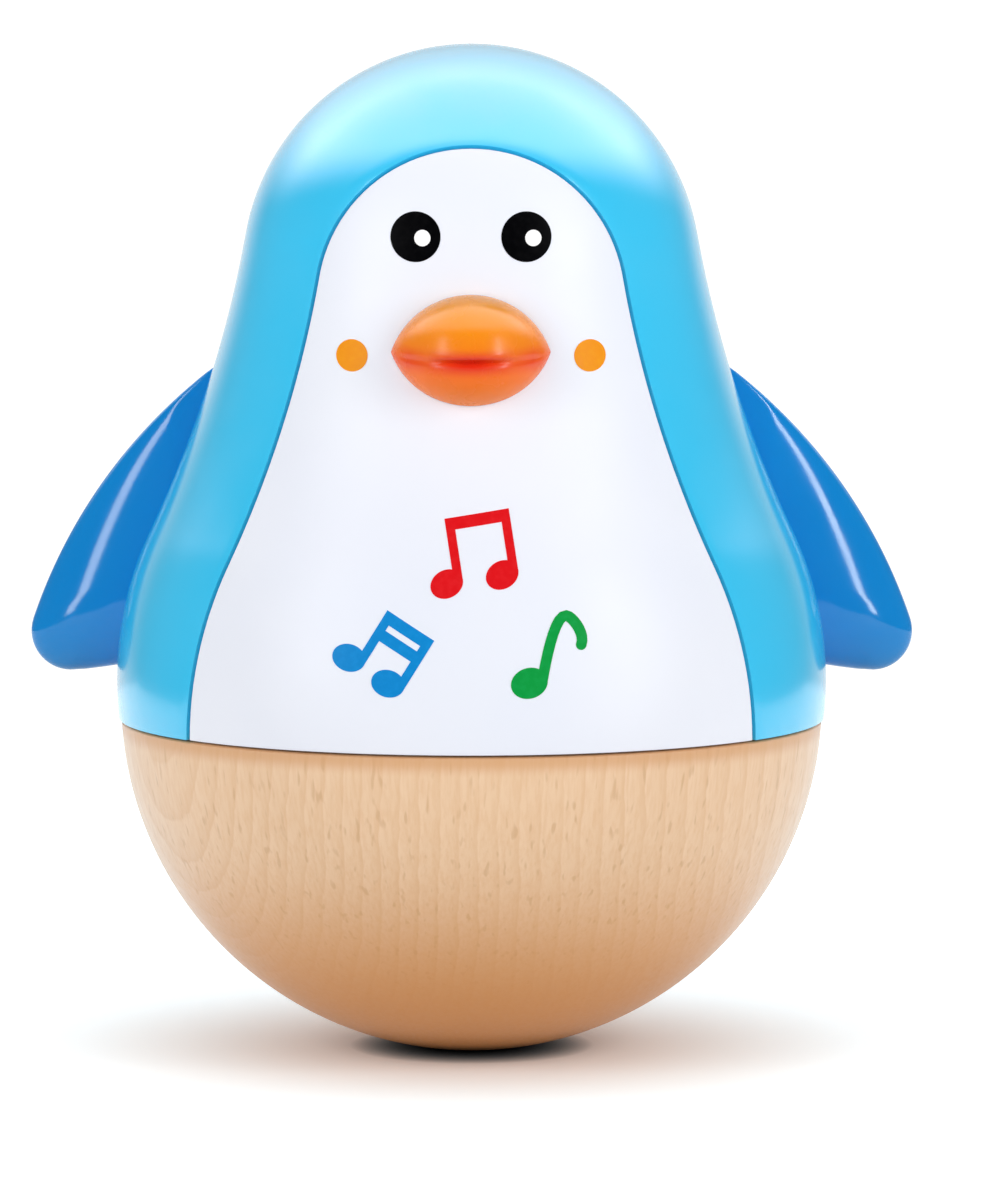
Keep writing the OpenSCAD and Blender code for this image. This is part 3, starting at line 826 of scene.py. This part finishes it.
@dataclass
class WoodenBowl:
    """The turned beech bowl, with the steps inside it, in mm.

    Attributes:
        ball_r: Radius of the ball that it is turned from.
        ball_z: Height of the ball's middle.
        seam_z: Height of the rim.
        steps: Insets and depths of the rebate, the hollow and the weight's two seats.
        ease: Rounding of the rim's outer edge.
        segments: Steps round the ball.
        rings: Steps from its foot to its top.
        slack: Distance within which a point lies on the rim's plane.
    """

    ball_r: float = 44.5
    ball_z: float = 44.32
    seam_z: float = 42.02
    steps: tuple[Pair, ...] = ((4.0, 6.0), (4.35, 9.0), (11.0, 14.02), (8.0, 5.0))
    ease: float = 0.45
    segments: int = 224
    rings: int = 112
    slack: float = 0.01

    def build(self) -> None:
        """Builds, dresses and seats the bowl."""
        bowl = ball(self.segments, self.rings, (0, 0, 0))
        reshape(bowl, lambda point: (point * self.ball_r + Vector((0, 0, self.ball_z))) * MM)
        for height, side in ((0.0, "clear_inner"), (self.seam_z, "clear_outer")):
            edit(bowl)
            level = (0, 0, height * MM)
            bpy.ops.mesh.bisect(
                plane_co=level, plane_no=(0, 0, 1), use_fill=True, threshold=WELD, **{side: True}
            )
        top, slack = self.seam_z * MM, self.slack * MM
        pick_faces(bowl, lambda centre, normal: normal.z > 0.9 and centre.z > top - slack)
        for inset, depth in self.steps:
            bpy.ops.mesh.inset(thickness=inset * MM)
            bpy.ops.mesh.extrude_region_move(TRANSFORM_OT_translate={"value": (0, 0, -depth * MM)})
        rim = (self.ball_r - 1) * MM
        pick_edges(
            bowl, lambda a, b: all(abs(p.z - top) < slack and math.hypot(p.x, p.y) > rim for p in (a, b))
        )
        bpy.ops.mesh.bevel(offset=self.ease * MM, segments=3, affect="EDGES")
        seat(bowl, "beech_bowl", BEECH, ["wooden_base"])


def arc(centre: Pair, radius: float, turns: Iterable[int]) -> Outline:
    """Gives the points of an arc at some turns, in degrees."""
    angles = [math.radians(turn) for turn in turns]
    return [(centre[0] + radius * math.cos(a), centre[1] + radius * math.sin(a)) for a in angles]


@dataclass
class Fins:
    """The two blue fins, full and rounded, cut to the hood, in mm.

    Attributes:
        form: The body's outer form.
        lower: Points of the lower edge in the front view, from inside the hood.
        edge: Centre of the outer edge's arc.
        edge_r: Radius of that arc.
        edge_a: Turns along that arc from the corner to the tip, in degrees.
        corner: Centre of the lower outer corner.
        corner_r: Radius of that corner.
        corner_a: Turns along it from the lower edge to the outer one, in degrees.
        inner: The outline's end inside the hood.
        high_z: Height at which the fin is thinnest.
        middle: The point that the fin is wrapped round.
        back_y: Distance that the fins sit behind the middle plane.
        sweep_x: Distance from the axis past which they are swept back.
        sweep: Distance that the corner is swept back.
        root_t: Half of the thickness at the lower edge.
        tip_t: Half of the thickness at the tip.
        fullness: Power of the section's curve: 2 is an ellipse, and more is fuller.
        segments: Steps round the ball that a fin is shaped from.
        rings: Steps along that ball's axis.
    """

    form: BodyForm
    lower: tuple[Pair, ...] = ((33.0, 49.3), (41.0, 48.5), (44.0, 48.3), (47.0, 47.8), (49.5, 47.45))
    edge: Pair = (-9.03, 31.52)
    edge_r: float = 69.0
    edge_a: tuple[int, int] = (19, 53)
    corner: Pair = (51.48, 52.32)
    corner_r: float = 5.0
    corner_a: tuple[int, int] = (-100, 19)
    inner: Pair = (27.5, 86.0)
    high_z: float = 86.5
    middle: Pair = (43.0, 61.0)
    back_y: float = 6.0
    sweep_x: float = 38.0
    sweep: float = 2.0
    root_t: float = 5.2
    tip_t: float = 1.3
    fullness: float = 2.0
    segments: int = 192
    rings: int = 64

    def outline(self) -> Outline:
        """Gives the fin's front view, with its hidden inner end inside the hood."""
        corner = arc(self.corner, self.corner_r, range(*self.corner_a, 3))
        edge = arc(self.edge, self.edge_r, range(self.edge_a[0], self.edge_a[1] + 1))
        return [*self.lower, *corner, *edge, self.inner]

    def reach(self, outline: Outline, turn: float) -> float:
        """Finds how far the outline lies from the fin's middle.

        Args:
            outline: The fin's front view.
            turn: Direction from the middle, counted from +X.

        Returns:
            The distance to the outline in that direction.
        """
        way = Vector((math.cos(turn), math.sin(turn)))
        middle = Vector(self.middle)
        best = 0.0
        for start, end in zip(outline, outline[1:] + outline[:1]):
            a, b = Vector(start) - middle, Vector(end) - middle
            cross_a, cross_b = way.x * a.y - way.y * a.x, way.x * b.y - way.y * b.x
            if cross_a * cross_b <= 0 and cross_a != cross_b:
                hit = a + (b - a) * (cross_a / (cross_a - cross_b))
                best = max(best, hit.dot(way))
        return best

    def build_one(self, side: Side) -> None:
        """Builds, dresses and seats one fin."""
        outline = self.outline()
        reach = functools.cache(lambda turn: self.reach(outline, turn))
        low_z = self.corner[1]

        def place(point: Vector) -> Vector:
            """Lays a point of the ball on the fin."""
            turn = round(math.atan2(point.z, point.x), 5)
            out = min(math.hypot(point.x, point.z), 1.0) ** (2 / self.fullness)
            far = reach(turn) * out
            x, z = self.middle[0] + far * math.cos(turn), self.middle[1] + far * math.sin(turn)
            up = max(0.0, min(1.0, (z - low_z) / (self.high_z - low_z)))
            thick = self.root_t + (self.tip_t - self.root_t) * up
            swept = self.sweep * max(0.0, (x - self.sweep_x) / (self.corner[0] - self.sweep_x))
            y = self.back_y + swept + math.copysign(abs(point.y) ** (2 / self.fullness), point.y) * thick
            return Vector((side.value * x, y, z)) * MM

        fin = ball(self.segments, self.rings, (math.pi / 2, 0, 0))
        reshape(fin, place)
        self.form.cut(fin)
        name = side.name.lower()
        seat(fin, f"{name}_fin", FIN_BLUE, [f"{name}_flipper"])

    def build(self) -> None:
        """Builds both fins."""
        for side in Side:
            self.build_one(side)


@dataclass
class Beak:
    """The orange beak: an almond in front view, whose mouth dips and is deepest in the middle, in mm.

    Attributes:
        form: The body's outer form.
        finish: The beak's finish, which carries the mouth's line.
        deep_share: Depth over half height.
        crease: Depth of the mouth.
        crease_w: Half width of the mouth.
        lid: How far the upper half overhangs the mouth.
        lid_z: Height of that overhang above the mouth.
        lid_w: Half width of that overhang.
        even: Share of the mouth's depth that runs on to its corners.
        fade: Share of the half width, squared, over which the rest fades.
        segments: Steps round the ball that the beak is shaped from.
        rings: Steps along that ball's axis.
    """

    form: BodyForm
    finish: BeakPlastic = BEAK_ORANGE
    deep_share: float = 1.25
    crease: float = 0.75
    crease_w: float = 0.42
    lid: float = 0.3
    lid_z: float = 1.0
    lid_w: float = 1.1
    even: float = 0.3
    fade: float = 0.12
    segments: int = 256
    rings: int = 96

    def build(self) -> None:
        """Builds, dresses and seats the beak."""
        half_w, half_h, middle_z = self.finish.half_w, self.finish.half_h, self.finish.middle_z
        arc_r = (half_w**2 + half_h**2) / (2 * half_h)
        back_y = math.sqrt(self.form.outer.side(middle_z) ** 2 - half_w**2)

        def place(point: Vector) -> Vector:
            """Lays a point of the ball on the beak."""
            x = half_w * point.x
            r = math.sqrt(arc_r**2 - x**2) - (arc_r - half_h)
            turn = math.atan2(point.z, -point.y)
            share = (x / half_w) ** 2
            gap = r * math.sin(turn) + self.finish.drop - self.finish.lift * share
            front = max(0.0, math.cos(turn)) * (1 - share**2)
            front *= self.even + (1 - self.even) * math.exp(-share / self.fade)
            r -= front * self.crease * math.exp(-((gap / self.crease_w) ** 2))
            if gap > 0:
                r += front * self.lid * math.exp(-(((gap - self.lid_z) / self.lid_w) ** 2))
            y = -back_y - self.deep_share * r * math.cos(turn)
            return Vector((x, y, middle_z + r * math.sin(turn))) * MM

        beak = ball(self.segments, self.rings, (0, math.pi / 2, 0))
        reshape(beak, place)
        self.form.cut(beak)
        seat(beak, "orange_beak", self.finish, ["beak"], crease=60)


def ellipse(x: float, z: float, half_w: float, half_h: float, tilt: float = 0.0) -> Outline:
    """Draws an ellipse.

    Args:
        x: Its middle in X, in mm.
        z: Its middle in Z, in mm.
        half_w: Half of its length.
        half_h: Half of its height.
        tilt: Turn of its length, in degrees.

    Returns:
        The ellipse's points.
    """
    turns = [math.tau * i / ELLIPSE_STEPS for i in range(ELLIPSE_STEPS)]
    return moved([(half_w * math.cos(t), half_h * math.sin(t)) for t in turns], x, z, tilt)


def moved(outline: Outline, x: float, z: float, tilt: float) -> Outline:
    """Turns an outline about its origin and moves it to a place.

    Args:
        outline: The points to move.
        x: Where the origin goes in X.
        z: Where it goes in Z.
        tilt: Turn in degrees, positive against the clock.

    Returns:
        The moved points.
    """
    cos, sin = math.cos(math.radians(tilt)), math.sin(math.radians(tilt))
    return [(x + u * cos - v * sin, z + u * sin + v * cos) for u, v in outline]


@dataclass
class Prints:
    """Eyes, cheeks and music notes, pad printed on the panel as thin films, in mm.

    Attributes:
        form: The body's outer form.
        film: Height of the ink above the panel.
        eye: Place of an eye, either side of the middle.
        eye_r: Radius of an eye.
        glint: Place of the white glint from the eye's middle.
        glint_r: Radius of the glint.
        cheek: Place of a cheek.
        cheek_r: Radius of a cheek.
        stroke: Width of a joined note's stem.
        bend: Width of the bent stem of the note that stands alone.
        beam: Thickness of a note's beam.
        beam_gap: Gap between two beams.
        head: Half length and half height of a joined note's head.
        head_x: Distance of that head's middle from its stem.
        head_a: Tilt of that head, in degrees.
        lone_head: Half length and half height of the single note's head.
        lone_a: Tilt of that head, in degrees.
        stem: Control points of the single note's stem, from its head's middle.
        flag: Control points of its flag.
        bend_steps: Points along each of the two.
        near_y: Where the tools that cut a print out start, in front of the panel.
        through: How far they reach back.
        skin_t: Thickness of the skin that they cut.
        inset: Distance that the skin keeps to the panel's outline.
        skins: The skins by their height above the panel.
    """

    form: BodyForm
    film: float = 0.05
    eye: Pair = (6.8, 104.3)
    eye_r: float = 3.08
    glint: Pair = (0.85, -0.15)
    glint_r: float = 1.0
    cheek: Pair = (14.6, 89.8)
    cheek_r: float = 1.95
    stroke: float = 1.1
    bend: float = 1.3
    beam: float = 1.45
    beam_gap: float = 0.75
    head: Pair = (2.05, 1.65)
    head_x: float = 1.45
    head_a: float = 18.0
    lone_head: Pair = (2.25, 1.85)
    lone_a: float = 15.0
    stem: tuple[Pair, ...] = ((1.6, 0.4), (2.1, 3.2), (3.1, 8.2), (4.5, 8.0))
    flag: tuple[Pair, ...] = ((4.5, 8.0), (5.3, 7.8), (6.8, 5.8), (6.3, 4.5))
    bend_steps: int = 10
    near_y: float = -60.0
    through: float = 55.0
    skin_t: float = 0.3
    inset: float = 1.0
    skins: dict[float, bpy.types.Object] = field(default_factory=dict)

    def prism(self, outline: Outline) -> bpy.types.Object:
        """Makes an upright outline into a solid that passes through the panel.

        Args:
            outline: Points in the front view.

        Returns:
            The closed prism.
        """
        start_clean()
        bpy.ops.mesh.primitive_circle_add(vertices=len(outline), radius=1.0, fill_type="NGON")
        piece = bpy.context.object
        for point, (x, z) in zip(piece.data.vertices, outline):
            point.co = Vector((x, self.near_y, z)) * MM
        edit(piece)
        bpy.ops.mesh.extrude_region_move(TRANSFORM_OT_translate={"value": (0, self.through * MM, 0)})
        bpy.ops.mesh.select_all(action="SELECT")
        bpy.ops.mesh.normals_make_consistent(inside=False)
        start_clean()
        return piece

    def stamp(self, name: str, ink: PadInk, outlines: Sequence[Outline], layer: int = 1) -> None:
        """Prints outlines on the panel.

        Args:
            name: The print's name.
            ink: Its ink.
            outlines: Shapes in the front view, which may overlap.
            layer: The film's number, counted from the panel.
        """
        lift = self.film * layer
        if lift not in self.skins:
            skin = self.form.wrap(Part.PANEL, gap=-self.inset, grow=lift)
            modify(skin, "SOLIDIFY", thickness=self.skin_t * MM, offset=-1.0)
            self.skins[lift] = skin
        shape = self.prism(outlines[0])
        for outline in outlines[1:]:
            combine(shape, self.prism(outline), "UNION")
        take(self.skins[lift])
        bpy.ops.object.duplicate()
        print_film = bpy.context.object
        combine(print_film, shape, "INTERSECT")
        seat(print_film, name, ink)

    def face(self) -> None:
        """Prints the eyes with their glints, and the cheeks."""
        for side in Side:
            name = side.name.lower()
            x, z = side.value * self.eye[0], self.eye[1]
            self.stamp(f"{name}_eye", INK_BLACK, [ellipse(x, z, self.eye_r, self.eye_r)])
            glint = ellipse(x + self.glint[0], z + self.glint[1], self.glint_r, self.glint_r)
            self.stamp(f"{name}_eye_glint", INK_WHITE, [glint], layer=2)
            spot = ellipse(side.value * self.cheek[0], self.cheek[1], self.cheek_r, self.cheek_r)
            self.stamp(f"{name}_cheek", INK_ORANGE, [spot])

    def pair(self, span: float, tall: float, beams: int) -> list[Outline]:
        """Draws two notes joined by beams, about their middle.

        Args:
            span: Distance between the stems.
            tall: Height of the stems.
            beams: Number of beams.

        Returns:
            The shapes of the heads, stems and beams.
        """
        shapes = []
        top, half = tall / 2, self.stroke / 2
        for x in (-span / 2, span / 2):
            shapes.append(ellipse(x - self.head_x, -top, *self.head, self.head_a))
            shapes.append([(x - half, -top), (x + half, -top), (x + half, top), (x - half, top)])
        for i in range(beams):
            high = top - i * (self.beam + self.beam_gap)
            edge = span / 2 + half
            shapes.append([(-edge, high - self.beam), (edge, high - self.beam), (edge, high), (-edge, high)])
        return shapes

    def single(self) -> list[Outline]:
        """Draws one note whose stem bends over into its flag, about the middle of its head.

        Returns:
            The shapes of the head, of the stem with its flag, and of the flag's round end.
        """
        half, end = self.bend / 2, self.flag[-1]
        line = []
        for run in (self.stem, self.flag):
            line += interpolate_bezier(*map(Vector, run), self.bend_steps)[:-1]
        line.append(Vector(end))
        near, far = [], []
        for before, spot, after in zip(line[:1] + line, line, line[1:] + line[-1:]):
            along = (after - before).normalized() * half
            near.append((spot.x - along.y, spot.y + along.x))
            far.append((spot.x + along.y, spot.y - along.x))
        head = ellipse(0, 0, *self.lone_head, self.lone_a)
        return [head, near + far[::-1], ellipse(*end, half, half)]

    def notes(self) -> None:
        """Prints the three music notes."""
        drawn = (
            ("red_notes", INK_RED, self.pair(6.8, 7.6, 1), (1.3, 67.4), 9.0),
            ("blue_notes", INK_BLUE, self.pair(5.6, 7.4, 2), (-9.2, 54.8), -32.0),
            ("green_note", INK_GREEN, self.single(), (7.1, 51.05), 0.0),
        )
        for name, ink, shapes, (x, z), tilt in drawn:
            self.stamp(name, ink, [moved(shape, x, z, tilt) for shape in shapes])

    def build(self) -> None:
        """Prints everything and clears the skins away."""
        self.face()
        self.notes()
        for skin in self.skins.values():
            bpy.data.objects.remove(skin)


@dataclass
class Mechanism:
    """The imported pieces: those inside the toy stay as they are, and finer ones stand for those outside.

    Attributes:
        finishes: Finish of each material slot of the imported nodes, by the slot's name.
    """

    finishes: dict[str, Finish] = field(
        default_factory=lambda: {
            "beech": BEECH,
            "chassis_grey": CHASSIS_GREY,
            "cast_iron": CAST_IRON,
            "rod_steel": ROD_STEEL,
            "strip_steel": STRIP_STEEL,
            "screw_steel": SCREW_STEEL,
            "hood_blue": HOOD_BLUE,
            "panel_white": PANEL_WHITE,
            "flipper_blue": FIN_BLUE,
            "beak_orange": BEAK_ORANGE,
        }
    )

    def build(self) -> None:
        """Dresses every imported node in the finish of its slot."""
        for name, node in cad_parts.items():
            slot = node.material_slots[0].material.name.split(".")[0]
            for place in node.material_slots:
                place.material = material_of(self.finishes[slot])
            LOG.info("%s: %s", name, slot)


@dataclass
class Studio:
    """White floor, soft lamps and the camera, in mm.

    Attributes:
        camera: Place of the camera.
        pitch: How far the camera looks down, in degrees.
        lens: Focal length on a 36 mm sensor.
        floor: Side of the square floor.
        paper: Tone of the floor as it lights the toy, and as the camera and the gloss see it.
        shade: Distance within which the gap under the foot is deepened.
        fade: Distances from the axis between which the floor is lifted to white.
        lift: Strength of that lift.
        glow: Its colour, cool against the wood's warm light.
        room: Brightness of the room that lights the toy from all round.
        room_top: Its brightness overhead.
        room_front: Brightness of the room in front of the toy, as the gloss shows it.
        room_back: Brightness of the sweep behind it there.
        sheet: Brightness of the sheet overhead there.
        sheet_tilt: How far that sheet is tilted back, in degrees.
        lamps: Names, places, widths and heights, and watts of the lamps.
        aim: The point that they face.
    """

    camera: tuple[float, float, float] = (2.4, -900.0, 141.0)
    pitch: float = 5.33
    lens: float = 213.57
    floor: float = 800.0
    paper: Pair = (0.75, 0.92)
    shade: float = 2.5
    fade: Pair = (5.0, 80.0)
    lift: float = 0.85
    glow: Colour = (0.8, 0.93, 1.0, 1.0)
    room: float = 1.13
    room_top: float = 0.12
    room_front: float = 0.2
    room_back: float = 0.9
    sheet: float = 4.1
    sheet_tilt: float = 25.0
    lamps: tuple[tuple[str, tuple[float, float, float], Pair, float], ...] = (
        ("left_box", (-450, -370, 250), (75, 460), 1.05),
        ("right_box", (450, -370, 250), (55, 460), 1.25),
    )
    aim: tuple[float, float, float] = (0, 0, 60)

    def hang_lamps(self) -> None:
        """Hangs the soft lamps so that they face the toy."""
        for name, place, size, watts in self.lamps:
            start_clean()
            spot = Vector(place) * MM
            turn = (Vector(self.aim) * MM - spot).to_track_quat("-Z", "Y")
            bpy.ops.object.light_add(type="AREA", location=spot, rotation=turn.to_euler())
            lamp = bpy.context.object
            lamp.name = lamp.data.name = name
            lamp.data.shape = "RECTANGLE"
            lamp.data.size, lamp.data.size_y = size[0] * MM, size[1] * MM
            lamp.data.energy = watts

    def lay_floor(self) -> None:
        """Lays paper that takes the shadow, lifted to white where the lamps fall off."""
        start_clean()
        bpy.ops.mesh.primitive_plane_add(size=self.floor * MM)
        floor = bpy.context.object
        floor.name = floor.data.name = "white_floor"
        paper = bpy.data.materials.new("matt white paper")
        paper.use_nodes = True
        tree = paper.node_tree
        tree.nodes.clear()
        seen = add_node(tree, "LightPath")
        shown = compute(tree, "MAXIMUM", seen.outputs["Is Camera Ray"], seen.outputs["Is Glossy Ray"])
        tone = remap(tree, shown, (0.0, 1.0), self.paper)
        # The gap under the round foot closes slowly, so its shade is deepened.
        shade = add_node(tree, "AmbientOcclusion", {"Distance": self.shade * MM}, samples=16)
        deep = compute(tree, "MULTIPLY", tone, shade.outputs["AO"])
        matt = add_node(tree, "BsdfDiffuse", {"Color": deep})
        place = add_node(tree, "TexCoord").outputs["Object"]
        away = add_node(tree, "VectorMath", {0: place}, operation="LENGTH").outputs["Value"]
        near, far = self.fade
        fade = remap(tree, away, (near * MM, far * MM), (0.0, self.lift), smooth=True)
        lift = compute(tree, "MULTIPLY", shown, fade)
        glow = add_node(tree, "Emission", {"Color": self.glow, "Strength": lift})
        both = add_node(tree, "AddShader", {0: matt.outputs["BSDF"], 1: glow.outputs["Emission"]})
        add_node(tree, "OutputMaterial", {"Surface": both.outputs["Shader"]})
        floor.data.materials.append(paper)

    def light_room(self) -> None:
        """Lights the room: white to the camera, soft on the toy, and with a sheet overhead in the gloss."""
        world = bpy.data.worlds.new("white room")
        world.use_nodes = True
        tree = world.node_tree
        tree.nodes.clear()
        # In the gloss the room is dim in front of the toy and white behind it, and a bright sheet hangs
        # overhead, tilted back and dimmer towards its far edge.
        way = add_node(tree, "TexCoord").outputs["Generated"]
        axes = add_node(tree, "SeparateXYZ", {"Vector": way})
        sweep = remap(tree, axes.outputs["Y"], (0.7, 1.0), (self.room_front, self.room_back), smooth=True)
        tilt = math.radians(self.sheet_tilt)
        up = (0, math.sin(tilt), math.cos(tilt))
        height = add_node(tree, "VectorMath", {0: way, 1: up}, operation="DOT_PRODUCT").outputs["Value"]
        dimmed = remap(tree, axes.outputs["Y"], (0.5, 0.95), (self.sheet, 0.0))
        sheet = remap(tree, height, (0.46, 0.74), (0.0, dimmed), smooth=True)
        gloss = compute(tree, "ADD", sweep, sheet)
        room = remap(tree, axes.outputs["Z"], (0.2, 0.8), (self.room, self.room_top))
        seen = add_node(tree, "LightPath")
        lit = add_node(tree, "Mix", {"Factor": seen.outputs["Is Glossy Ray"], "A": room, "B": gloss})
        level = compute(tree, "MAXIMUM", seen.outputs["Is Camera Ray"], lit.outputs["Result"])
        sky = add_node(tree, "Background", {"Color": (1, 1, 1, 1), "Strength": level})
        add_node(tree, "OutputWorld", {"Surface": sky.outputs["Background"]})
        bpy.context.scene.world = world

    def build(self) -> None:
        """Sets up floor, light and camera."""
        self.lay_floor()
        self.light_room()
        self.hang_lamps()
        start_clean()
        bpy.ops.object.camera_add(
            location=Vector(self.camera) * MM, rotation=(math.radians(90 - self.pitch), 0, 0)
        )
        camera = bpy.context.object
        camera.name = camera.data.name = "front_camera"
        camera.data.lens = self.lens
        camera.data.sensor_width = 36.0
        camera.data.clip_start, camera.data.clip_end = 0.05, 50.0
        scene = bpy.context.scene
        scene.camera = camera
        scene.view_settings.view_transform = "Standard"


def main() -> None:
    """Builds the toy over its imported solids."""
    logging.basicConfig(level=logging.INFO, format="%(message)s")
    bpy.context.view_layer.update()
    Mechanism().build()
    form = BodyForm()
    BodyShells(form).build()
    WoodenBowl().build()
    Fins(form).build()
    Beak(form).build()
    form.clear()
    Prints(form).build()
    Studio().build()
    start_clean()


if __name__ == "__main__":
    main()
